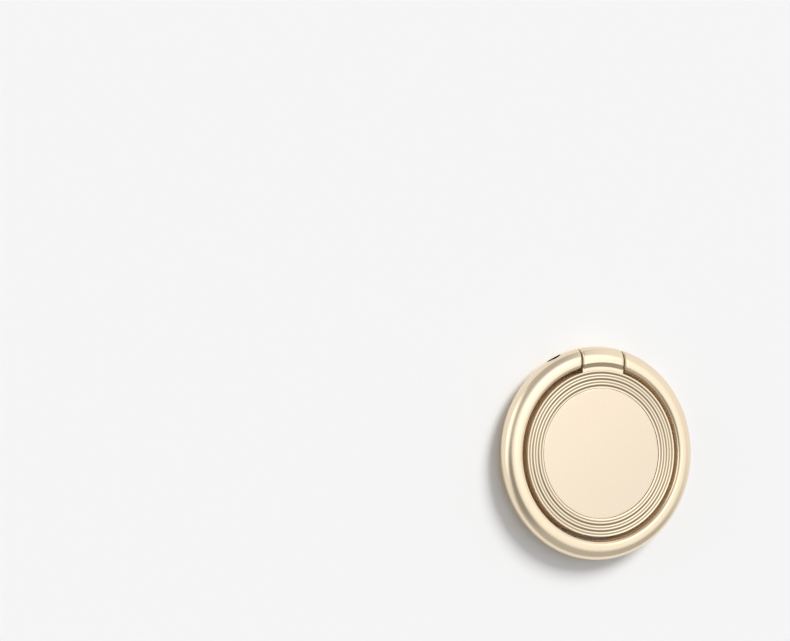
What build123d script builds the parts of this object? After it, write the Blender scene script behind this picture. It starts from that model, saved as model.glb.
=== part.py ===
"""Phone ring holder: a ridged disc that swivels on a stick-on base, with a hinged finger ring.

The holder lies on its back. The origin is the centre of the adhesive face, +Z points out of the
ridged face, and the finger ring is folded flat with its hinge towards +Y. Sizes are millimetres.
"""
import math
import os

from build123d import *

# Adhesive pad and base plate
pad_t = 0.4
pad_inset = 0.9
plate_t = 0.4
plate_inset = 0.4
run_gap = 0.1

# Face of the disc, from the inlaid plate over the rounded ridges out to the rim
face_r = 11.55
face_t = 0.7
face_bevel = 0.06
face_gap = 0.07
face_land_w = 0.15
ridge_pitch = 1.124
ridge_count = 2
ridge_h = 0.18
ridge_facets = 3
rim_land_w = 0.17
rim_bevel = 0.08

# Swivel: stud, friction washer, disc spring and keeper washer
stud_r = 1.75
stud_flange_lip = 0.85
stud_flange_t = 0.2
stud_neck_step = 0.55
stud_head_lip = 0.75
stud_head_t = 0.4
head_clear = 0.3
washer_in_r = 4.0
washer_out_r = 10.0
washer_t = 0.4
web_t = 0.7
spring_w = 2.2
spring_t = 0.2
spring_height = 0.5
spring_bore_clear = 0.25
spring_gap = 0.02
keeper_w = 2.6
keeper_t = 0.3
pocket_clear = 0.8

# Finger ring: a D section, flat inside, whose rounds are turned in narrow facets
ring_gap = 0.7
ring_width = 3.55
ring_rise = 0.21
ring_floor_gap = 0.31
ring_shoulder_r = 0.85
shoulder_facets = 3
crown_facets = 10

# Hinge: knuckle of the disc, pin and the two flanged bushes
knuckle_w = 8.2
bridge_drop = 0.07
pin_r = 0.7
pin_grip = 2.9
pin_chamfer = 0.1
bush_wall = 0.32
bush_lip = 0.45
bush_flange_t = 0.27
bush_end_gap = 0.03
bush_mid_gap = 2.2

# Fits
run_clear = 0.03
swivel_clear = 0.05
seat_clear = 0.05
press_clear = 0.01

# Radii worked out from the face outwards
seat_r = face_r + face_gap
groove_r = seat_r + face_land_w
half_waves = 2 * ridge_count + 1
rim_land_r = groove_r + half_waves * ridge_pitch / 2
disc_r = rim_land_r + rim_land_w
plate_r = disc_r - plate_inset
ring_inner_r = disc_r + ring_gap
ring_shoulder_top_r = ring_inner_r + ring_shoulder_r
ring_outer_r = ring_inner_r + ring_width

# Levels worked out from the adhesive face upwards
plate_z0 = pad_t
plate_z1 = plate_z0 + plate_t
disc_z0 = plate_z1 + run_gap
web_z0 = plate_z1 + washer_t
web_z1 = web_z0 + web_t
spring_z1 = web_z1 + spring_height
keeper_z0 = spring_z1 + spring_gap
keeper_z1 = keeper_z0 + keeper_t
head_z1 = keeper_z1 + stud_head_t
face_z0 = head_z1 + head_clear
face_z1 = face_z0 + face_t
rim_z = face_z1 + ridge_h
bridge_z = rim_z - bridge_drop
ring_z0 = ring_floor_gap
ring_z1 = rim_z + ring_rise
ring_mid_z = (ring_z0 + ring_z1) / 2
ring_h = ring_z1 - ring_z0
crown_r = ring_h / 2

# Swivel and hinge sizes
stud_flange_r = stud_r + stud_flange_lip
stud_neck_r = stud_r - stud_neck_step
stud_head_r = stud_neck_r + stud_head_lip
spring_in_r = stud_r + spring_bore_clear
spring_out_r = spring_in_r + spring_w
pocket_r = spring_out_r + pocket_clear
bush_in_r = pin_r + run_clear
bush_out_r = bush_in_r + bush_wall
bush_flange_r = bush_out_r + bush_lip
knuckle_x = knuckle_w / 2
ring_end_x = knuckle_x + bush_flange_t + bush_end_gap
ring_end_y0 = math.sqrt(ring_inner_r ** 2 - ring_end_x ** 2)
ring_end_y1 = math.sqrt(ring_outer_r ** 2 - ring_end_x ** 2)
hinge_y = (ring_end_y0 + ring_end_y1) / 2
pin_half_l = ring_end_x + pin_grip
hinge_plane = Plane(origin=(0, hinge_y, ring_mid_z), x_dir=(0, 1, 0), z_dir=(1, 0, 0))


def turned(points):
    """Solid of revolution about the swivel axis from radius-height points."""
    with BuildSketch(Plane.XZ) as profile:
        with BuildLine():
            Polyline(*points, close=True)
        make_face()
    return revolve(profile.sketch, axis=Axis.Z)


def washer(inner_r, outer_r, z0, z1):
    """A flat ring between two levels."""
    return turned([(inner_r, z0), (outer_r, z0), (outer_r, z1), (inner_r, z1)])


def hinge_rod(radius, x0, x1):
    """A round bar on the hinge axis between two places along it."""
    return extrude(hinge_plane.offset(x0) * Circle(radius), amount=x1 - x0)


def adhesive_pad():
    """Round stick-on pad, the face that goes on the phone."""
    pad_r = plate_r - pad_inset
    return turned([(0, 0), (pad_r, 0), (pad_r, pad_t), (0, pad_t)])


def base_plate():
    """Thin base disc, counterbored below for the stud's flange."""
    hole_r = stud_r + press_clear
    recess_r = stud_flange_r + press_clear
    recess_z = plate_z0 + stud_flange_t
    return turned([(hole_r, plate_z1), (plate_r, plate_z1), (plate_r, plate_z0),
                   (recess_r, plate_z0), (recess_r, recess_z), (hole_r, recess_z)])


def swivel_stud():
    """Shouldered stud: flange under the base, shank in the disc's bore, neck and upset head."""
    flange_z = plate_z0 + stud_flange_t
    points = [(0, plate_z0), (stud_flange_r, plate_z0), (stud_flange_r, flange_z), (stud_r, flange_z),
              (stud_r, keeper_z0), (stud_neck_r, keeper_z0), (stud_neck_r, keeper_z1),
              (stud_head_r, keeper_z1), (stud_head_r, head_z1), (0, head_z1)]
    return turned(points)


def friction_washer():
    """Thrust washer in the disc's underside that carries it on the base plate."""
    return washer(washer_in_r, washer_out_r, plate_z1, web_z0)


def disc_spring():
    """Coned spring washer that presses the disc's web down from under the keeper."""
    return turned([(spring_in_r, spring_z1 - spring_t), (spring_out_r, web_z1),
                   (spring_out_r, web_z1 + spring_t), (spring_in_r, spring_z1)])


def keeper_washer():
    """Flat washer held on the stud's neck by the upset head."""
    return washer(stud_neck_r + press_clear, stud_neck_r + keeper_w, keeper_z0, keeper_z1)


def face_plate():
    """Smooth round plate inlaid in the middle of the ridged face."""
    return turned([(0, face_z0), (face_r, face_z0), (face_r, face_z1 - face_bevel),
                   (face_r - face_bevel, face_z1), (0, face_z1)])


def round_points(centre_r, centre_z, radius, start, sweep, facets):
    """Points along a round of the ring's section, a facet apart."""
    turns = [math.radians(start + sweep * step / facets) for step in range(facets + 1)]
    return [(centre_r + radius * math.cos(turn), centre_z + radius * math.sin(turn)) for turn in turns]


def ring_points():
    """D outline of the finger ring: half-round crown outside, flat inside between two shoulders."""
    crown = round_points(ring_outer_r - crown_r, ring_mid_z, crown_r, -90, 180, crown_facets)
    high_z = ring_z1 - ring_shoulder_r
    low_z = ring_z0 + ring_shoulder_r
    high = round_points(ring_shoulder_top_r, high_z, ring_shoulder_r, 90, 90, shoulder_facets)
    low = round_points(ring_shoulder_top_r, low_z, ring_shoulder_r, 180, 90, shoulder_facets)
    return crown + high + low


def finger_ring():
    """Open ring with two flat ends beside the knuckle and a pin hole across both."""
    ring = turned(ring_points())
    ring -= Pos(0, ring_outer_r, ring_mid_z) * Box(2 * ring_end_x, 2 * ring_outer_r, 2 * ring_h)
    return ring - hinge_rod(pin_r + press_clear, -ring_outer_r, ring_outer_r)


def knuckle():
    """Length of the ring's own section between the ring's ends, with a level bridge to the rim."""
    block = turned(ring_points()) + washer(rim_land_r, ring_shoulder_top_r, disc_z0, bridge_z)
    block &= Pos(0, ring_outer_r, ring_mid_z) * Box(knuckle_w, 2 * ring_outer_r, 2 * ring_h)
    return block - hinge_rod(bush_out_r + press_clear, -knuckle_x, knuckle_x)


def ridge_points():
    """Wave of rounded ridges, a facet apart, from the groove beside the plate up to the rim."""
    points = []
    for step in range(half_waves * ridge_facets + 1):
        rise = (1 - math.cos(math.pi * step / ridge_facets)) / 2
        points.append((groove_r + step * ridge_pitch / (2 * ridge_facets), face_z1 + rise * ridge_h))
    return points


def disc_body():
    """Disc with a swivel bore, spring pocket, washer recess and ridged face, and the knuckle cast on."""
    bore_r = stud_r + swivel_clear
    recess_r = washer_out_r + seat_clear
    points = [(bore_r, web_z0), (bore_r, web_z1), (pocket_r, web_z1), (pocket_r, face_z0)]
    points += [(seat_r, face_z0), (seat_r, face_z1)] + ridge_points()
    points += [(disc_r - rim_bevel, rim_z), (disc_r, rim_z - rim_bevel), (disc_r, disc_z0)]
    points += [(recess_r, disc_z0), (recess_r, web_z0)]
    return turned(points) + knuckle()


def hinge_pin():
    """Plain steel pin pressed into both ring ends, sunk below their holes' mouths."""
    pin = hinge_rod(pin_r, -pin_half_l, pin_half_l)
    return chamfer(pin.edges().filter_by(GeomType.CIRCLE), pin_chamfer)


def hinge_bush():
    """Flanged bush for the right end of the knuckle: the barrel grips the pin, the flange spaces the ring."""
    barrel = hinge_rod(bush_out_r, bush_mid_gap / 2, knuckle_x)
    flange_x = knuckle_x + bush_flange_t
    flange = hinge_rod(bush_flange_r, knuckle_x, flange_x)
    return barrel + flange - hinge_rod(bush_in_r, 0, flange_x)


right_bush = hinge_bush()
pieces = {
    "adhesive_pad": adhesive_pad(),
    "base_plate": base_plate(),
    "swivel_stud": swivel_stud(),
    "friction_washer": friction_washer(),
    "disc_spring": disc_spring(),
    "keeper_washer": keeper_washer(),
    "disc_body": disc_body(),
    "face_plate": face_plate(),
    "hinge_bush_right": right_bush,
    "hinge_bush_left": mirror(right_bush, about=Plane.YZ),
    "hinge_pin": hinge_pin(),
    "finger_ring": finger_ring(),
}

os.makedirs("parts", exist_ok=True)
for name, piece in pieces.items():
    export_step(piece, f"parts/{name}.step")
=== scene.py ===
"""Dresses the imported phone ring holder, and sets its floor, light and camera.

The file is laid out as a Blender add-on. Lengths are metres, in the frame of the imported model:
the holder lies on its adhesive face, +Z points out of its ridged face and +Y is its hinge side.
"""
import math

import bmesh
import bpy
from bpy.props import FloatProperty, FloatVectorProperty, PointerProperty
from mathutils import Matrix, Vector


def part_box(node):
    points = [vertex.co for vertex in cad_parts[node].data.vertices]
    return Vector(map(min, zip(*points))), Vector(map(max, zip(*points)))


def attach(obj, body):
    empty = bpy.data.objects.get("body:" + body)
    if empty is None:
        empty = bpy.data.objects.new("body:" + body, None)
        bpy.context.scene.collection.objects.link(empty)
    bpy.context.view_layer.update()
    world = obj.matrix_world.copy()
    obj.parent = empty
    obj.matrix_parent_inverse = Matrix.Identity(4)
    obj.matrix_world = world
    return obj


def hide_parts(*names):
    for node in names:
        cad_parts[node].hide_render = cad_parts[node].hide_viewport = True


bl_info = {
    "name": "Phone Ring Holder",
    "version": (1, 0, 0),
    "blender": (4, 5, 0),
    "location": "View3D > Sidebar > Ring Holder",
    "description": "Finishes, floor, light and camera for a phone ring holder",
    "category": "Object",
}

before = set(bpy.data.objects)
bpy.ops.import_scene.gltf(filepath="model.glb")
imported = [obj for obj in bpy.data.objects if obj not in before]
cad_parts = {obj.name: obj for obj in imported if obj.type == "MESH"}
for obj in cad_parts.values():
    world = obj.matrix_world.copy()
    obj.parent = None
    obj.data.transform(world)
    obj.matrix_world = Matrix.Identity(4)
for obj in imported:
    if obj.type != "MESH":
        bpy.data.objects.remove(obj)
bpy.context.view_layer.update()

MM = 0.001
MICRON = 0.001 * MM

# Picture, camera and floor
IMAGE_W = 790
IMAGE_H = 641
SENSOR_MM = 36.0
CLIP_START = 10 * MM
FLOOR_HALF = 3.0

# Steps along the rounds of the sections and round the holder
EDGE_STEPS = 7
CROWN_STEPS = 28
SHOULDER_STEPS = 14
HEEL_STEPS = 10
HALF_WAVES = 5
WAVE_STEPS = 14
RING_STEPS = 200
DISC_STEPS = 240
KNUCKLE_STEPS = 16
BRIDGE_STEPS = 8
BORE_STEPS = 48

# Edges that stay sharp or are broken, and distances at which points are joined
SHARP = math.radians(16)
BROKEN = math.radians(35)
BROKEN_STEPS = 2
FACE_WEIGHT = 50
WELD_GAP = MICRON
JOIN_GAP = 0.1 * MICRON

# Bridge: how far it reaches into the rim, and how far it lies inside disc and knuckle
BRIDGE_REACH = 0.15 * MM
BRIDGE_INSET = 0.02 * MM
BRIDGE_SINK = MICRON

# Satin walls and ends, painted highlight on the level and painted shade on slopes, and painted shade
# inside the pin's hole
SATIN = 0.75
SATIN_BAND = 0.06 * MM
# Painted highlight on level places and painted shade on slopes, as shares of red, green and blue
LEVEL_HIGHLIGHT = (1.05, 1.08, 1.12)
SLOPE_SHADE = (0.54, 0.51, 0.45)
LEVEL_RISE = 0.985
SLOPE_RISE = 0.92
# Painted shade inside the pin's hole, as a share of the gold
HOLE_SHADE = 0.06
HOLE_BAND = 0.01 * MM

# Metal: shares of colour and roughness that change with its grain and from place to place
COLOUR_SPREAD = 0.03
GLOSS_LESS = 0.03
GRAIN_GLOSS = 0.04
CLOUD_GLOSS = 0.03

# Metal cut on a lathe: lines and clouds to the metre, and how deep its lines are
LATHE_LINES = 16000.0
LATHE_DETAIL = 3.0
LATHE_CLOUDS = 260.0
LATHE_RELIEF = 0.5
RING_LINES = 2 * MICRON
DISC_LINES = 3 * MICRON
BASE_LINES = 3 * MICRON
SPRING_LINES = 4 * MICRON

# Metal blasted with beads: grains and clouds to the metre, and how deep its grain is
BEAD_GRAIN = 9000.0
BEAD_DETAIL = 4.0
BEAD_CLOUDS = 180.0
BEAD_RELIEF = 0.4
FACE_GRAIN = 4 * MICRON
PIN_GRAIN = 3 * MICRON

# Moulded plastic: grains to the metre, and what changes with them
MOULD_GRAIN = 7000.0
MOULD_DETAIL = 3.0
MOULD_RELIEF = 0.5
MOULD_SPREAD = 0.1
MOULD_GLOSS = 0.1
NYLON_GRAIN = 10 * MICRON

# Foam: cells and clouds to the metre, and what changes with them
FOAM_CELLS = 4500.0
FOAM_CLOUDS = 900.0
FOAM_DETAIL = 3.0
FOAM_RELIEF = 0.6
FOAM_DEPTH = 30 * MICRON
FOAM_DARK = 0.86
FOAM_LIGHT = 1.05
FOAM_GLOSS = 0.5
CELL_GLOSS = 0.2
FOAM_CLOUD_GLOSS = 0.1

# Colour sockets of a Mix node
MIX_FIRST = 6
MIX_SECOND = 7
MIX_RESULT = 2

ring_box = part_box("finger_ring")
disc_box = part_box("disc_body")
pin_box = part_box("hinge_pin")
ring_reach = min(ring_box[1].x, -ring_box[0].y)
hinge_y = (pin_box[0].y + pin_box[1].y) / 2
hinge_z = (pin_box[0].z + pin_box[1].z) / 2


class Value:
    """A shader socket that adds Math nodes when it stands in a sum or a product."""

    def __init__(self, tree, socket):
        self.tree = tree
        self.socket = socket

    def math(self, operation, left, right):
        """One Math node on two terms."""
        node = self.tree.nodes.new("ShaderNodeMath")
        node.operation = operation
        feed(self.tree, node.inputs[0], left)
        feed(self.tree, node.inputs[1], right)
        return Value(self.tree, node.outputs["Value"])

    def __add__(self, other):
        return self.math("ADD", self, other)

    def __radd__(self, other):
        return self.math("ADD", other, self)

    def __sub__(self, other):
        return self.math("SUBTRACT", self, other)

    def __rsub__(self, other):
        return self.math("SUBTRACT", other, self)

    def __mul__(self, other):
        return self.math("MULTIPLY", self, other)

    def __rmul__(self, other):
        return self.math("MULTIPLY", other, self)


def feed(tree, place, value):
    """Links a wrapped socket to an input, or sets a plain number, colour or vector on it."""
    if isinstance(value, Value):
        tree.links.new(value.socket, place)
    elif place.type == "RGBA":
        place.default_value = (*value, 1.0)
    else:
        place.default_value = value


class Nodes:
    """The node tree of one material, or of the world."""

    def __init__(self, owner):
        owner.use_nodes = True
        self.tree = owner.node_tree
        self.tree.nodes.clear()

    def add(self, kind, settings, sockets, output=None):
        """Adds a node of a kind, its settings first and then its sockets, and gives one output."""
        node = self.tree.nodes.new(kind)
        for name, setting in settings.items():
            setattr(node, name, setting)
        for name, value in sockets.items():
            feed(self.tree, node.inputs[name], value)
        return Value(self.tree, node.outputs[output]) if output is not None else node

    def place(self):
        """Place on the piece itself, in metres."""
        return self.add("ShaderNodeTexCoord", {}, {}, "Object")

    def noise(self, place, scale, detail=2.0):
        """Soft random grain from 0 to 1, with so many grains to the metre."""
        return self.add("ShaderNodeTexNoise", {"noise_dimensions": "3D"},
                        {"Vector": place, "Scale": scale, "Detail": detail}, "Fac")

    def radius(self):
        """Distance from the swivel axis."""
        flat = self.add("ShaderNodeVectorMath", {"operation": "MULTIPLY"},
                        {0: self.place(), 1: (1.0, 1.0, 0.0)}, "Vector")
        return self.add("ShaderNodeVectorMath", {"operation": "LENGTH"}, {0: flat}, "Value")

    def turned_place(self):
        """Radius and height about the swivel axis, so that grain runs round in lathe lines."""
        axes = self.add("ShaderNodeSeparateXYZ", {}, {"Vector": self.place()})
        height = Value(self.tree, axes.outputs["Z"])
        return self.add("ShaderNodeCombineXYZ", {}, {"X": self.radius(), "Y": height}, "Vector")

    def at_radius(self, radius, half):
        """1 within a narrow band of radius about the swivel axis, and 0 elsewhere."""
        return self.add("ShaderNodeMath", {"operation": "COMPARE"},
                        {0: self.radius(), 1: radius, 2: half}, "Value")

    def at_end(self, end_x, half):
        """1 beside the two flat ends on the hinge side, right and left of the middle, 0 elsewhere."""
        axes = self.add("ShaderNodeSeparateXYZ", {}, {"Vector": self.place()})
        across = self.add("ShaderNodeMath", {"operation": "ABSOLUTE"},
                          {0: Value(self.tree, axes.outputs["X"])}, "Value")
        band = self.add("ShaderNodeMath", {"operation": "COMPARE"},
                        {0: across, 1: end_x, 2: half}, "Value")
        return band * self.add("ShaderNodeMath", {"operation": "GREATER_THAN"},
                               {0: Value(self.tree, axes.outputs["Y"]), 1: disc_box[1].x}, "Value")

    def on_slope(self):
        """1 where the surface leans well away from level, 0 where it is level."""
        facing = self.add("ShaderNodeNewGeometry", {}, {}, "True Normal")
        rise = Value(self.tree, self.add("ShaderNodeSeparateXYZ", {}, {"Vector": facing}).outputs["Z"])
        return self.add("ShaderNodeMapRange", {},
                        {"Value": rise, "From Min": LEVEL_RISE, "From Max": SLOPE_RISE}, "Result")

    def near_hinge(self, radius):
        """1 inside a bore on the hinge's line, and 0 outside it."""
        across = self.add("ShaderNodeVectorMath", {"operation": "SUBTRACT"},
                          {0: self.place(), 1: (0.0, hinge_y, hinge_z)}, "Vector")
        across = self.add("ShaderNodeVectorMath", {"operation": "MULTIPLY"},
                          {0: across, 1: (0.0, 1.0, 1.0)}, "Vector")
        reach = self.add("ShaderNodeVectorMath", {"operation": "LENGTH"}, {0: across}, "Value")
        return self.add("ShaderNodeMath", {"operation": "LESS_THAN"},
                        {0: reach, 1: radius + HOLE_BAND}, "Value")

    def bump(self, height, depth, strength):
        """Normal bent by a height map of a depth in metres."""
        return self.add("ShaderNodeBump", {}, {"Height": height, "Distance": depth,
                                               "Strength": strength}, "Normal")

    def mix(self, factor, first, second):
        """Colour between two colours."""
        node = self.add("ShaderNodeMix", {"data_type": "RGBA"}, {"Factor": factor})
        feed(self.tree, node.inputs[MIX_FIRST], first)
        feed(self.tree, node.inputs[MIX_SECOND], second)
        return Value(self.tree, node.outputs[MIX_RESULT])

    def surface(self, sockets):
        """Principled surface with these sockets, linked to the material's output."""
        shader = self.add("ShaderNodeBsdfPrincipled", {}, sockets, "BSDF")
        self.add("ShaderNodeOutputMaterial", {}, {"Surface": shader})


def shade(colour, share):
    """A colour made darker or lighter by a share."""
    return tuple(min(1.0, part * share) for part in colour)


def tint(colour, shares):
    """A colour with a share of its own for red, green and blue."""
    return tuple(part * share for part, share in zip(colour, shares))


def uneven(roughness, grain, cloud):
    """Roughness of metal that changes a little with its grain and from place to place."""
    return roughness - GLOSS_LESS + grain * GRAIN_GLOSS + cloud * CLOUD_GLOSS


def turned_metal(name, colour, roughness, line_depth, hole_r=0.0, satin=None, slopes=()):
    """Metal cut on a lathe: fine lines run round it, and its gloss changes a little from line to line.

    A wall, given by its radius, and two end faces of it can be left satin. Between pairs of radii a
    highlight is painted on the level and shade is painted on slopes.
    """
    material = bpy.data.materials.new(name)
    nodes = Nodes(material)
    lines = nodes.noise(nodes.turned_place(), LATHE_LINES, LATHE_DETAIL)
    gloss = roughness
    if satin:
        wall_r, end_x = satin
        gloss = gloss + nodes.at_radius(wall_r, SATIN_BAND) * (SATIN - gloss)
        gloss = gloss + nodes.at_end(end_x, SATIN_BAND) * (SATIN - gloss)
    cloud = nodes.noise(nodes.place(), LATHE_CLOUDS)
    tone = nodes.mix(cloud, shade(colour, 1 - COLOUR_SPREAD), shade(colour, 1 + COLOUR_SPREAD))
    # Painted highlight where the surface is level and painted shade where it slopes, within each band of
    # radii
    for inner_r, outer_r in slopes:
        cut = nodes.mix(nodes.on_slope(), tint(colour, LEVEL_HIGHLIGHT), tint(colour, SLOPE_SHADE))
        tone = nodes.mix(nodes.at_radius((inner_r + outer_r) / 2, (outer_r - inner_r) / 2), tone, cut)
    # Painted shade inside the pin's hole
    if hole_r:
        tone = nodes.mix(nodes.near_hinge(hole_r), tone, shade(colour, HOLE_SHADE))
    nodes.surface({
        "Metallic": 1.0,
        "Base Color": tone,
        "Roughness": uneven(gloss, lines, cloud),
        "Normal": nodes.bump(lines, line_depth, LATHE_RELIEF),
    })
    return material


def blasted_metal(name, colour, roughness, grain_depth):
    """Metal blasted with fine beads: an even matt grain with no direction."""
    material = bpy.data.materials.new(name)
    nodes = Nodes(material)
    grain = nodes.noise(nodes.place(), BEAD_GRAIN, BEAD_DETAIL)
    cloud = nodes.noise(nodes.place(), BEAD_CLOUDS)
    nodes.surface({
        "Metallic": 1.0,
        "Base Color": nodes.mix(grain, shade(colour, 1 - COLOUR_SPREAD),
                                shade(colour, 1 + COLOUR_SPREAD)),
        "Roughness": uneven(roughness, grain, cloud),
        "Normal": nodes.bump(grain, grain_depth, BEAD_RELIEF),
    })
    return material


def moulded_plastic(name, colour, roughness, grain_depth):
    """Moulded plastic with a fine spark-eroded grain."""
    material = bpy.data.materials.new(name)
    nodes = Nodes(material)
    grain = nodes.noise(nodes.place(), MOULD_GRAIN, MOULD_DETAIL)
    nodes.surface({
        "Base Color": nodes.mix(grain, shade(colour, 1 - MOULD_SPREAD),
                                shade(colour, 1 + MOULD_SPREAD)),
        "Roughness": roughness - MOULD_GLOSS / 2 + grain * MOULD_GLOSS,
        "Normal": nodes.bump(grain, grain_depth, MOULD_RELIEF),
    })
    return material


def foam_tape(name, colour):
    """Stick-on foam: small round cells under a thin tacky skin."""
    material = bpy.data.materials.new(name)
    nodes = Nodes(material)
    cells = nodes.add("ShaderNodeTexVoronoi", {"feature": "F1"},
                      {"Vector": nodes.place(), "Scale": FOAM_CELLS}, "Distance")
    cloud = nodes.noise(nodes.place(), FOAM_CLOUDS, FOAM_DETAIL)
    nodes.surface({
        "Base Color": nodes.mix(cells, shade(colour, FOAM_DARK), shade(colour, FOAM_LIGHT)),
        "Roughness": FOAM_GLOSS + cells * CELL_GLOSS + cloud * FOAM_CLOUD_GLOSS,
        "Normal": nodes.bump(cells, FOAM_DEPTH, FOAM_RELIEF),
    })
    return material


def dress(node_name, material, edge):
    """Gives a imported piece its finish, with its edges broken by a small round."""
    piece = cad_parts[node_name]
    piece.data.materials.clear()
    piece.data.materials.append(material)
    weld = piece.modifiers.new("Join faces", "WELD")
    weld.merge_threshold = WELD_GAP
    bevel = piece.modifiers.new("Broken edges", "BEVEL")
    bevel.limit_method = "ANGLE"
    bevel.angle_limit = BROKEN
    bevel.width = edge
    bevel.segments = BROKEN_STEPS
    bevel.harden_normals = False
    normals = piece.modifiers.new("Smooth faces", "WEIGHTED_NORMAL")
    normals.weight = FACE_WEIGHT


def round_points(centre, radius, start, sweep, steps):
    """Points along a round of a section, as radius from the swivel axis and height."""
    turns = [math.radians(start + sweep * step / steps) for step in range(steps + 1)]
    return [(centre[0] + radius * math.cos(turn), centre[1] + radius * math.sin(turn)) for turn in turns]


def inset(section, depth):
    """A closed section drawn in by a depth on all sides."""
    drawn = []
    for index, (radius, height) in enumerate(section):
        before = Vector((radius, height)) - Vector(section[index - 1])
        after = Vector(section[(index + 1) % len(section)]) - Vector((radius, height))
        inward = Vector((-before.y, before.x)).normalized() + Vector((-after.y, after.x)).normalized()
        inward *= 2 * depth / inward.length_squared
        drawn.append((radius + inward.x, height + inward.y))
    return drawn


def led_round(section, end_x, edge, whole, steps):
    """Loops of a section led round the swivel axis between two flat ends with rounded edges.

    A whole ring runs the long way round; anything else only crosses the hinge side.
    """
    side = 1 if whole else -1
    near = []
    for step in range(EDGE_STEPS + 1):
        turn = math.pi / 2 * step / EDGE_STEPS
        x = end_x + side * edge * (1 - math.cos(turn))
        drawn = inset(section, edge * (1 - math.sin(turn)))
        near.append([Vector((x, math.sqrt(radius ** 2 - x ** 2), height)) for radius, height in drawn])
    starts = [math.asin((end_x + side * edge) / radius) for radius, height in section]
    middle = []
    for step in range(1, steps):
        loop = []
        for (radius, height), start in zip(section, starts):
            stop = 2 * math.pi - start if whole else -start
            turn = start + (stop - start) * step / steps
            loop.append(Vector((radius * math.sin(turn), radius * math.cos(turn), height)))
        middle.append(loop)
    far = [[Vector((-point.x, point.y, point.z)) for point in loop] for loop in reversed(near)]
    return near + middle + far


def turned_loops(section, steps):
    """Loops of a section all the way round the swivel axis."""
    loops = []
    for step in range(steps):
        turn = 2 * math.pi * step / steps
        loops.append([Vector((radius * math.sin(turn), radius * math.cos(turn), height))
                      for radius, height in section])
    return loops


def skin(name, loops, closed):
    """Piece with a skin over loops of points, joined up when closed and capped at both ends when not."""
    count = len(loops[0])
    faces = []
    for index in range(len(loops) if closed else len(loops) - 1):
        here = index * count
        there = (index + 1) % len(loops) * count
        for corner in range(count):
            after = (corner + 1) % count
            faces.append((here + corner, here + after, there + after, there + corner))
    if not closed:
        last = (len(loops) - 1) * count
        faces.append(tuple(range(count)))
        faces.append(tuple(range(last, last + count)))
    mesh = bpy.data.meshes.new(name)
    mesh.from_pydata([point for loop in loops for point in loop], [], faces)
    return outward(name, mesh)


def hinge_bar(name, radius, half_length):
    """Round bar along the hinge, to cut a bore with."""
    points = []
    for step in range(BORE_STEPS):
        turn = 2 * math.pi * step / BORE_STEPS
        y = hinge_y + radius * math.cos(turn)
        z = hinge_z + radius * math.sin(turn)
        points += [Vector((half_length, y, z)), Vector((-half_length, y, z))]
    count = len(points)
    faces = [(2 * step, 2 * step + 1, (2 * step + 3) % count, (2 * step + 2) % count)
             for step in range(BORE_STEPS)]
    faces += [tuple(range(0, count, 2)), tuple(range(1, count, 2))]
    mesh = bpy.data.meshes.new(name)
    mesh.from_pydata(points, [], faces)
    return outward(name, mesh)


def outward(name, mesh):
    """Object of a mesh whose faces all look outwards, linked to the scene."""
    work = bmesh.new()
    work.from_mesh(mesh)
    bmesh.ops.recalc_face_normals(work, faces=work.faces)
    work.to_mesh(mesh)
    work.free()
    piece = bpy.data.objects.new(name, mesh)
    bpy.context.scene.collection.objects.link(piece)
    return piece


def joined(piece, others):
    """Unites or cuts a piece with others, given as object and operation, and takes those away."""
    for other, operation in others:
        step = piece.modifiers.new("Join", "BOOLEAN")
        step.solver = "EXACT"
        step.operation = operation
        step.object = other
    depsgraph = bpy.context.evaluated_depsgraph_get()
    mesh = bpy.data.meshes.new_from_object(piece.evaluated_get(depsgraph))
    piece.modifiers.clear()
    rough = piece.data
    piece.data = mesh
    mesh.name = rough.name
    bpy.data.meshes.remove(rough)
    for other, operation in others:
        spare = other.data
        bpy.data.objects.remove(other)
        bpy.data.meshes.remove(spare)
    work = bmesh.new()
    work.from_mesh(mesh)
    bmesh.ops.remove_doubles(work, verts=work.verts, dist=JOIN_GAP)
    bmesh.ops.dissolve_degenerate(work, edges=work.edges, dist=JOIN_GAP)
    work.to_mesh(mesh)
    work.free()


def finish_mesh(piece, material):
    """Smooth faces with sharp edges kept, and one finish."""
    piece.data.shade_smooth()
    piece.data.set_sharp_from_angle(angle=SHARP)
    piece.data.materials.clear()
    piece.data.materials.append(material)
    normals = piece.modifiers.new("Smooth faces", "WEIGHTED_NORMAL")
    normals.keep_sharp = True


def ring_section(shape):
    """D outline of the finger ring: half-round crown outside, flat inside between two rounds."""
    return crown_points(shape) + shoulder_points(shape) + heel_points(shape)


def crown_points(shape):
    """Half-round outside of the ring, from its underside up to its top."""
    crown_r = (shape.ring_high - shape.ring_low) / 2
    middle = (shape.ring_high + shape.ring_low) / 2
    return round_points((shape.ring_outer_r - crown_r, middle), crown_r,
                        start=-90, sweep=180, steps=CROWN_STEPS)


def shoulder_points(shape):
    """Round from the ring's top down to its flat inside."""
    shoulder = shape.ring_shoulder
    return round_points((shape.ring_inner_r + shoulder, shape.ring_high - shoulder), shoulder,
                        start=90, sweep=90, steps=SHOULDER_STEPS)


def heel_points(shape):
    """Round from the ring's flat inside to its underside."""
    heel = shape.ring_heel
    return round_points((shape.ring_inner_r + heel, shape.ring_low + heel), heel,
                        start=180, sweep=90, steps=HEEL_STEPS)


def knuckle_section(shape):
    """Outline of the knuckle: the ring's crown and heel, and a flat slope down to the bridge."""
    slope = [(shape.slope_r, shape.ring_high), (shape.slope_foot_r, shape.bridge_z)]
    return crown_points(shape) + slope + heel_points(shape)


def ridge_points(groove_r, land_r, low, high):
    """Wave of rounded ridges from the groove beside the plate up to the rim."""
    points = []
    steps = HALF_WAVES * WAVE_STEPS
    for step in range(steps + 1):
        rise = (1 - math.cos(math.pi * step / WAVE_STEPS)) / 2
        points.append((groove_r + (land_r - groove_r) * step / steps, low + (high - low) * rise))
    return points


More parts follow.
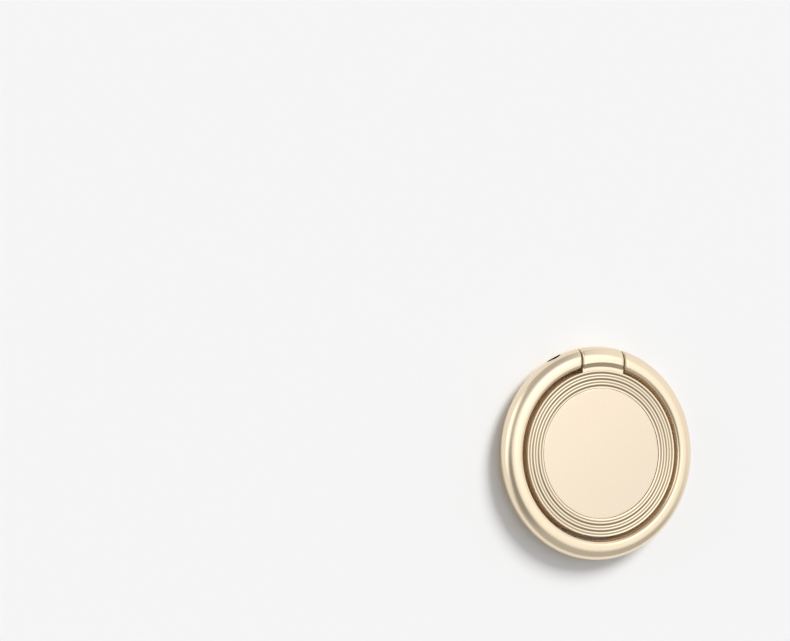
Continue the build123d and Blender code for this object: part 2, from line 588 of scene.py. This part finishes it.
def disc_section(shape):
    """Outline of the disc: bore, spring pocket, seat of the plate, ridges, rim and washer recess."""
    face_low, face_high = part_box("face_plate")
    washer_low, washer_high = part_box("friction_washer")
    web_low = washer_high.z
    web_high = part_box("disc_spring")[0].z
    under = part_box("base_plate")[1].z + shape.run_gap
    seat_r = face_high.x + shape.face_gap
    groove_r = seat_r + shape.face_land
    land_r = shape.disc_r - shape.rim_land
    points = [(shape.bore_r, web_low), (shape.bore_r, web_high), (shape.pocket_r, web_high),
              (shape.pocket_r, face_low.z), (seat_r, face_low.z), (seat_r, face_high.z)]
    points += ridge_points(groove_r, land_r, face_high.z, shape.rim_z)
    edge = shape.rim_round
    points += round_points((shape.disc_r - edge, shape.rim_z - edge), edge,
                           start=90, sweep=-90, steps=EDGE_STEPS)
    points += round_points((shape.disc_r - edge, under + edge), edge,
                           start=0, sweep=-90, steps=EDGE_STEPS)
    recess_r = washer_high.x + shape.recess_gap
    return points + [(recess_r, under), (recess_r, web_low)]


def bridge_section(shape):
    """Level bridge from the rim into the knuckle, a hair inside both."""
    inner_r = shape.disc_r - BRIDGE_REACH
    outer_r = shape.slope_r
    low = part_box("base_plate")[1].z + shape.run_gap + BRIDGE_INSET
    high = shape.bridge_z - BRIDGE_SINK
    return [(inner_r, low), (outer_r, low), (outer_r, high), (inner_r, high)]


class HolderShape(bpy.types.PropertyGroup):
    """Sizes of the finger ring and the disc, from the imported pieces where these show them."""

    ring_outer_r: FloatProperty(name="Ring radius", description="Radius to the outside of the ring",
                                unit="LENGTH", min=0, default=ring_reach)
    ring_inner_r: FloatProperty(name="Ring inner radius", description="Radius to the ring's flat inside",
                                unit="LENGTH", min=0, default=15.45 * MM)
    ring_shoulder: FloatProperty(name="Ring shoulder", description="Round from top to flat inside",
                                 unit="LENGTH", min=0, default=0.85 * MM)
    ring_heel: FloatProperty(name="Ring heel", description="Round from flat inside to underside",
                             unit="LENGTH", min=0, default=0.85 * MM)
    ring_low: FloatProperty(name="Ring underside", description="Height of the ring's underside",
                            unit="LENGTH", default=ring_box[0].z)
    ring_high: FloatProperty(name="Ring top", description="Height of the ring's top",
                             unit="LENGTH", default=ring_box[1].z)
    ring_end: FloatProperty(name="Ring end", description="Distance from the middle to a ring's end",
                            unit="LENGTH", min=0, default=4.4 * MM)
    knuckle_end: FloatProperty(name="Knuckle end", description="Distance from the middle to its end",
                               unit="LENGTH", min=0, default=4.1 * MM)
    end_round: FloatProperty(name="End round", description="Round on the edges of the ring's ends",
                             unit="LENGTH", min=0, default=0.28 * MM)
    slope_r: FloatProperty(name="Slope radius", description="Radius at which the knuckle's slope starts",
                           unit="LENGTH", min=0, default=16.13 * MM)
    slope_foot_r: FloatProperty(name="Slope foot", description="Radius where the slope meets the bridge",
                                unit="LENGTH", min=0, default=15.36 * MM)
    bridge_z: FloatProperty(name="Bridge height", description="Height of the bridge from rim to knuckle",
                            unit="LENGTH", min=0, default=4.23 * MM)
    pin_hole_r: FloatProperty(name="Pin hole", description="Radius of the pin's hole in the ring's ends",
                              unit="LENGTH", min=0, default=0.71 * MM)
    bush_hole_r: FloatProperty(name="Bush hole", description="Radius of the bushes' hole in the knuckle",
                               unit="LENGTH", min=0, default=1.06 * MM)
    disc_r: FloatProperty(name="Disc radius", description="Radius of the disc's wall",
                          unit="LENGTH", min=0, default=disc_box[1].x)
    rim_z: FloatProperty(name="Rim height", description="Height of the rim and of the ridges' tops",
                         unit="LENGTH", default=4.3 * MM)
    rim_land: FloatProperty(name="Rim land", description="Width of the level rim",
                            unit="LENGTH", min=0, default=0.17 * MM)
    rim_round: FloatProperty(name="Rim round", description="Round on the rim's edges",
                             unit="LENGTH", min=0, default=0.08 * MM)
    face_gap: FloatProperty(name="Face gap", description="Fine gap round the inlaid plate",
                            unit="LENGTH", min=0, default=0.07 * MM)
    face_land: FloatProperty(name="Face land", description="Level strip between plate and first ridge",
                             unit="LENGTH", min=0, default=0.15 * MM)
    bore_r: FloatProperty(name="Swivel bore", description="Radius of the bore that turns on the stud",
                          unit="LENGTH", min=0, default=1.8 * MM)
    pocket_r: FloatProperty(name="Spring pocket", description="Radius of the pocket round the spring",
                            unit="LENGTH", min=0, default=5.0 * MM)
    recess_gap: FloatProperty(name="Washer gap", description="Gap round the friction washer",
                              unit="LENGTH", min=0, default=0.05 * MM)
    run_gap: FloatProperty(name="Running gap", description="Gap between base plate and disc",
                           unit="LENGTH", min=0, default=0.1 * MM)


class HolderFinish(bpy.types.PropertyGroup):
    """Colours and gloss of the holder's pieces."""

    gold: FloatVectorProperty(name="Gold", description="Champagne gold of the ring and the disc",
                              subtype="COLOR", min=0, max=1, default=(0.89, 0.748, 0.555))
    face_gold: FloatVectorProperty(name="Face gold", description="Paler gold of the inlaid face plate",
                                   subtype="COLOR", min=0, max=1, default=(0.81, 0.692, 0.543))
    nickel: FloatVectorProperty(name="Nickel", description="Bright plating of the base and its stud",
                                subtype="COLOR", min=0, max=1, default=(0.70, 0.71, 0.72))
    pin_steel: FloatVectorProperty(name="Pin steel", description="Ground steel of the hinge pin",
                                   subtype="COLOR", min=0, max=1, default=(0.52, 0.52, 0.53))
    spring_steel: FloatVectorProperty(name="Spring steel", description="Oiled steel of the disc spring",
                                      subtype="COLOR", min=0, max=1, default=(0.42, 0.43, 0.45))
    black_nylon: FloatVectorProperty(name="Black nylon", description="Nylon of the hinge bushes",
                                     subtype="COLOR", min=0, max=1, default=(0.018, 0.018, 0.019))
    pale_nylon: FloatVectorProperty(name="Pale nylon", description="Nylon of the friction washer",
                                    subtype="COLOR", min=0, max=1, default=(0.80, 0.79, 0.75))
    foam: FloatVectorProperty(name="Foam", description="Stick-on pad under the base",
                              subtype="COLOR", min=0, max=1, default=(0.75, 0.76, 0.77))
    ring_gloss: FloatProperty(name="Ring roughness", description="Roughness of the polished ring",
                              subtype="FACTOR", min=0, max=1, default=0.17)
    disc_gloss: FloatProperty(name="Disc roughness", description="Roughness of the turned disc",
                              subtype="FACTOR", min=0, max=1, default=0.11)
    face_gloss: FloatProperty(name="Face roughness", description="Roughness of the blasted face plate",
                              subtype="FACTOR", min=0, max=1, default=0.17)
    base_gloss: FloatProperty(name="Base roughness", description="Roughness of the base and its stud",
                              subtype="FACTOR", min=0, max=1, default=0.22)
    pin_gloss: FloatProperty(name="Pin roughness", description="Roughness of the hinge pin",
                             subtype="FACTOR", min=0, max=1, default=0.3)
    spring_gloss: FloatProperty(name="Spring roughness", description="Roughness of the disc spring",
                                subtype="FACTOR", min=0, max=1, default=0.3)
    bush_gloss: FloatProperty(name="Bush roughness", description="Roughness of the hinge bushes",
                              subtype="FACTOR", min=0, max=1, default=0.45)
    washer_gloss: FloatProperty(name="Washer roughness", description="Roughness of the friction washer",
                                subtype="FACTOR", min=0, max=1, default=0.5)
    edge: FloatProperty(name="Broken edge", description="Width of the small round on sharp edges",
                        unit="LENGTH", min=0, default=0.03 * MM)


class HolderStage(bpy.types.PropertyGroup):
    """Floor, light and camera."""

    floor: FloatVectorProperty(name="Floor", description="Colour of the plain floor",
                               subtype="COLOR", min=0, max=1, default=(0.90, 0.90, 0.90))
    room: FloatProperty(name="Room light", description="Level of the room all round", min=0, default=0.52)
    shadow: FloatProperty(name="Shadow", description="Share of the room's light kept off matt surfaces",
                          subtype="FACTOR", min=0, max=1, default=0.4)
    sun: FloatProperty(name="Sun", description="Strength of the lamp that casts the shadow",
                       min=0, default=2.42)
    sun_width: FloatProperty(name="Sun width", description="Angle across the lamp, for a soft shadow",
                             subtype="ANGLE", min=0, default=math.radians(25))
    sun_height: FloatProperty(name="Sun height", description="Height of the lamp above the floor",
                              subtype="ANGLE", default=math.radians(42))
    sun_turn: FloatProperty(name="Sun turn", description="Side that the lamp stands on, from +X",
                            subtype="ANGLE", default=math.radians(58))
    lens: FloatProperty(name="Lens", description="Focal length in millimetres",
                        unit="CAMERA", min=1, default=85.0)
    tilt: FloatProperty(name="Tilt", description="Height of the camera above the floor",
                        subtype="ANGLE", default=math.radians(61.09))
    turn: FloatProperty(name="Turn", description="Turn of the camera about the swivel axis",
                        subtype="ANGLE", default=math.radians(-2.3))
    roll: FloatProperty(name="Roll", description="Turn of the holder in the picture",
                        subtype="ANGLE", default=math.radians(2.77))
    target: FloatProperty(name="Target height", description="Height of the point that the camera aims by",
                          unit="LENGTH", default=3.82 * MM)
    scale: FloatProperty(name="Picture scale", description="Pixels to a millimetre at the target",
                         min=0.1, default=5.633)
    centre: FloatVectorProperty(name="Picture place", description="Pixel at which the target lies",
                                size=2, default=(600.99, 453.25))


class RingOperator(bpy.types.Operator):
    """Makes the polished finger ring."""

    bl_idname = "ring_holder.finger_ring"
    bl_label = "Finger ring"

    def execute(self, context):
        finish = context.scene.holder_finish
        shape = context.scene.holder_shape
        # The ring's gold has painted shade inside the pin's hole
        gold = turned_metal("ring_gold", finish.gold, finish.ring_gloss, RING_LINES,
                            hole_r=shape.pin_hole_r, satin=(shape.ring_inner_r, shape.ring_end))
        ring = skin("polished_ring", led_round(ring_section(shape), shape.ring_end, shape.end_round,
                                               True, RING_STEPS), False)
        hole = hinge_bar("pin_hole", shape.pin_hole_r, shape.ring_outer_r)
        joined(ring, [(hole, "DIFFERENCE")])
        finish_mesh(ring, gold)
        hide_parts("finger_ring")
        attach(ring, "ring")
        return {"FINISHED"}


class DiscOperator(bpy.types.Operator):
    """Makes the ridged disc with its knuckle."""

    bl_idname = "ring_holder.ridged_disc"
    bl_label = "Ridged disc"

    def execute(self, context):
        finish = context.scene.holder_finish
        shape = context.scene.holder_shape
        seat_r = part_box("face_plate")[1].x + shape.face_gap
        # Bands with painted highlight on the level and painted shade on slopes: the ridges, and the
        # knuckle's slope
        slopes = [(seat_r, shape.disc_r - shape.rim_land), (shape.slope_foot_r, shape.slope_r)]
        gold = turned_metal("disc_gold", finish.gold, finish.disc_gloss, DISC_LINES,
                            satin=(shape.disc_r, shape.knuckle_end), slopes=slopes)
        disc = skin("ridged_disc", turned_loops(disc_section(shape), DISC_STEPS), True)
        bridge = skin("bridge", led_round(bridge_section(shape), shape.knuckle_end - BRIDGE_INSET,
                                          shape.rim_round, False, BRIDGE_STEPS), False)
        knuckle = skin("knuckle", led_round(knuckle_section(shape), shape.knuckle_end, shape.end_round,
                                            False, KNUCKLE_STEPS), False)
        hole = hinge_bar("bush_hole", shape.bush_hole_r, shape.ring_end)
        joined(disc, [(bridge, "UNION"), (knuckle, "UNION"), (hole, "DIFFERENCE")])
        finish_mesh(disc, gold)
        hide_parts("disc_body")
        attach(disc, "disc")
        return {"FINISHED"}


class FaceOperator(bpy.types.Operator):
    """Dresses the inlaid face plate."""

    bl_idname = "ring_holder.face_plate"
    bl_label = "Face plate"

    def execute(self, context):
        finish = context.scene.holder_finish
        gold = blasted_metal("face_gold", finish.face_gold, finish.face_gloss, FACE_GRAIN)
        dress("face_plate", gold, finish.edge)
        return {"FINISHED"}


class BaseOperator(bpy.types.Operator):
    """Dresses the base plate, the swivel stud and its keeper."""

    bl_idname = "ring_holder.base"
    bl_label = "Base and stud"

    def execute(self, context):
        finish = context.scene.holder_finish
        nickel = turned_metal("base_steel", finish.nickel, finish.base_gloss, BASE_LINES)
        for node_name in ("base_plate", "swivel_stud", "keeper_washer"):
            dress(node_name, nickel, finish.edge)
        return {"FINISHED"}


class SwivelOperator(bpy.types.Operator):
    """Dresses the friction washer and the disc spring."""

    bl_idname = "ring_holder.swivel"
    bl_label = "Swivel washers"

    def execute(self, context):
        finish = context.scene.holder_finish
        nylon = moulded_plastic("pale_nylon", finish.pale_nylon, finish.washer_gloss, NYLON_GRAIN)
        dress("friction_washer", nylon, finish.edge)
        steel = turned_metal("spring_steel", finish.spring_steel, finish.spring_gloss, SPRING_LINES)
        dress("disc_spring", steel, finish.edge)
        return {"FINISHED"}


class HingeOperator(bpy.types.Operator):
    """Dresses the hinge pin and its two bushes."""

    bl_idname = "ring_holder.hinge"
    bl_label = "Hinge"

    def execute(self, context):
        finish = context.scene.holder_finish
        steel = blasted_metal("hinge_steel", finish.pin_steel, finish.pin_gloss, PIN_GRAIN)
        dress("hinge_pin", steel, finish.edge)
        nylon = moulded_plastic("black_nylon", finish.black_nylon, finish.bush_gloss, NYLON_GRAIN)
        for node_name in ("hinge_bush_right", "hinge_bush_left"):
            dress(node_name, nylon, finish.edge)
        return {"FINISHED"}


class PadOperator(bpy.types.Operator):
    """Dresses the stick-on pad."""

    bl_idname = "ring_holder.pad"
    bl_label = "Stick-on pad"

    def execute(self, context):
        finish = context.scene.holder_finish
        dress("adhesive_pad", foam_tape("adhesive", finish.foam), finish.edge)
        return {"FINISHED"}


# Soft cards round the room: side from +X, height, inner and outer half-width in degrees, level
SOFT_CARDS = {
    "dim corner": (218, 42, 10, 38, 0.32),
    "right fill": (30, 12, 20, 58, 0.97),
    "left wing": (196, 0, 8, 36, 0.88),
    "left card": (163, 2, 5, 44, 1.55),
    "overhead glow": (35, 78, 20, 46, 1.1),
    "overhead box": (50, 69, 5, 25, 1.65),
}


def towards(turn, height):
    """Unit vector towards a side and a height, in radians."""
    level = math.cos(height)
    return Vector((level * math.cos(turn), level * math.sin(turn), math.sin(height)))


def lay_floor(stage):
    """A wide level floor under the holder."""
    mesh = bpy.data.meshes.new("floor")
    corners = [(-FLOOR_HALF, -FLOOR_HALF, 0), (FLOOR_HALF, -FLOOR_HALF, 0),
               (FLOOR_HALF, FLOOR_HALF, 0), (-FLOOR_HALF, FLOOR_HALF, 0)]
    mesh.from_pydata(corners, [], [(0, 1, 2, 3)])
    material = bpy.data.materials.new("floor_white")
    nodes = Nodes(material)
    nodes.surface({"Base Color": stage.floor, "Roughness": 1.0, "Specular IOR Level": 0.0})
    mesh.materials.append(material)
    floor = bpy.data.objects.new("floor", mesh)
    bpy.context.scene.collection.objects.link(floor)


def light_room(stage):
    """World of an even room with a few soft cards in it, each laid over the ones before.

    Matt surfaces get a smaller share of it, so that the lamp's shadow shows on the floor.
    """
    world = bpy.data.worlds.new("studio")
    bpy.context.scene.world = world
    nodes = Nodes(world)
    direction = nodes.add("ShaderNodeTexCoord", {}, {}, "Generated")
    level = stage.room
    for turn, height, inner, outer, card in SOFT_CARDS.values():
        aim = towards(math.radians(turn), math.radians(height))
        facing = nodes.add("ShaderNodeVectorMath", {"operation": "DOT_PRODUCT"},
                           {0: direction, 1: aim}, "Value")
        glow = nodes.add("ShaderNodeMapRange", {"interpolation_type": "SMOOTHSTEP"},
                         {"Value": facing, "From Min": math.cos(math.radians(outer)),
                          "From Max": math.cos(math.radians(inner))}, "Result")
        level = level + glow * (card - level)
    matt = nodes.add("ShaderNodeLightPath", {}, {}, "Is Diffuse Ray")
    level = level * (1 - matt * stage.shadow)
    room = nodes.add("ShaderNodeBackground", {}, {"Color": (1, 1, 1), "Strength": level}, "Background")
    nodes.add("ShaderNodeOutputWorld", {}, {"Surface": room})


def hang_lamp(stage):
    """One wide soft lamp for the floor's shadow; polished metal doesn't show it."""
    lamp = bpy.data.lights.new("shadow lamp", "SUN")
    lamp.energy = stage.sun
    lamp.angle = stage.sun_width
    holder = bpy.data.objects.new("shadow lamp", lamp)
    holder.rotation_mode = "QUATERNION"
    holder.rotation_quaternion = towards(stage.sun_turn, stage.sun_height).to_track_quat("Z", "Y")
    holder.visible_glossy = False
    bpy.context.scene.collection.objects.link(holder)


def set_camera(stage):
    """Camera that sees its target at its pixel, from the photo's tilt, roll and distance."""
    focal = stage.lens / SENSOR_MM * IMAGE_W
    ray = Vector(((stage.centre[0] - IMAGE_W / 2) / focal, (IMAGE_H / 2 - stage.centre[1]) / focal, -1.0))
    ray.normalize()
    up_seen = Vector((0, 1, 0))
    up_seen = (up_seen - ray * up_seen.dot(ray)).normalized()
    right_seen = ray.cross(up_seen)
    view = towards(math.pi, stage.tilt)
    aim = -view
    up = Vector((0, 1, 0))
    up = (up - aim * up.dot(aim)).normalized()
    right = aim.cross(up)
    cosine, sine = math.cos(stage.roll), math.sin(stage.roll)
    up_rolled = cosine * up - sine * right
    right_rolled = cosine * right + sine * up
    world_axes = Matrix((right_rolled, up_rolled, -aim)).transposed()
    seen_axes = Matrix((right_seen, up_seen, -ray))
    turn = world_axes @ seen_axes
    distance = focal / stage.scale * MM / -ray.z
    camera = bpy.data.cameras.new("camera")
    camera.lens = stage.lens
    camera.sensor_width = SENSOR_MM
    camera.clip_start = CLIP_START
    holder = bpy.data.objects.new("camera", camera)
    stand = Matrix.Translation(Vector((0, 0, stage.target)) + view * distance) @ turn.to_4x4()
    holder.matrix_world = Matrix.Rotation(stage.turn, 4, "Z") @ stand
    bpy.context.scene.collection.objects.link(holder)
    bpy.context.scene.camera = holder


class StageOperator(bpy.types.Operator):
    """Lays the floor, lights the room and sets the camera."""

    bl_idname = "ring_holder.stage"
    bl_label = "Floor, light and camera"

    def execute(self, context):
        stage = context.scene.holder_stage
        lay_floor(stage)
        light_room(stage)
        hang_lamp(stage)
        set_camera(stage)
        context.scene.view_settings.view_transform = "Standard"
        return {"FINISHED"}


OPERATORS = (RingOperator, DiscOperator, FaceOperator, BaseOperator, SwivelOperator,
             HingeOperator, PadOperator, StageOperator)


class HolderPanel(bpy.types.Panel):
    """Lists the holder's pieces and its stage."""

    bl_idname = "VIEW3D_PT_ring_holder"
    bl_label = "Ring Holder"
    bl_space_type = "VIEW_3D"
    bl_region_type = "UI"
    bl_category = "Ring Holder"

    def draw(self, context):
        for operator in OPERATORS:
            self.layout.operator(operator.bl_idname)
        scene = context.scene
        for group in (scene.holder_shape, scene.holder_finish, scene.holder_stage):
            box = self.layout.box()
            for name in group.bl_rna.properties.keys():
                if name not in ("rna_type", "name"):
                    box.prop(group, name)


CLASSES = (HolderShape, HolderFinish, HolderStage, *OPERATORS, HolderPanel)


def register():
    """Registers the classes and hangs the settings on the scene."""
    for cls in CLASSES:
        bpy.utils.register_class(cls)
    bpy.types.Scene.holder_shape = PointerProperty(type=HolderShape)
    bpy.types.Scene.holder_finish = PointerProperty(type=HolderFinish)
    bpy.types.Scene.holder_stage = PointerProperty(type=HolderStage)


def unregister():
    """Takes the settings and the classes away again."""
    del bpy.types.Scene.holder_stage
    del bpy.types.Scene.holder_finish
    del bpy.types.Scene.holder_shape
    for cls in reversed(CLASSES):
        bpy.utils.unregister_class(cls)


def main():
    """Registers the add-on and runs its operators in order."""
    register()
    bpy.ops.ring_holder.finger_ring()
    bpy.ops.ring_holder.ridged_disc()
    bpy.ops.ring_holder.face_plate()
    bpy.ops.ring_holder.base()
    bpy.ops.ring_holder.swivel()
    bpy.ops.ring_holder.hinge()
    bpy.ops.ring_holder.pad()
    bpy.ops.ring_holder.stage()


if __name__ == "__main__":
    main()
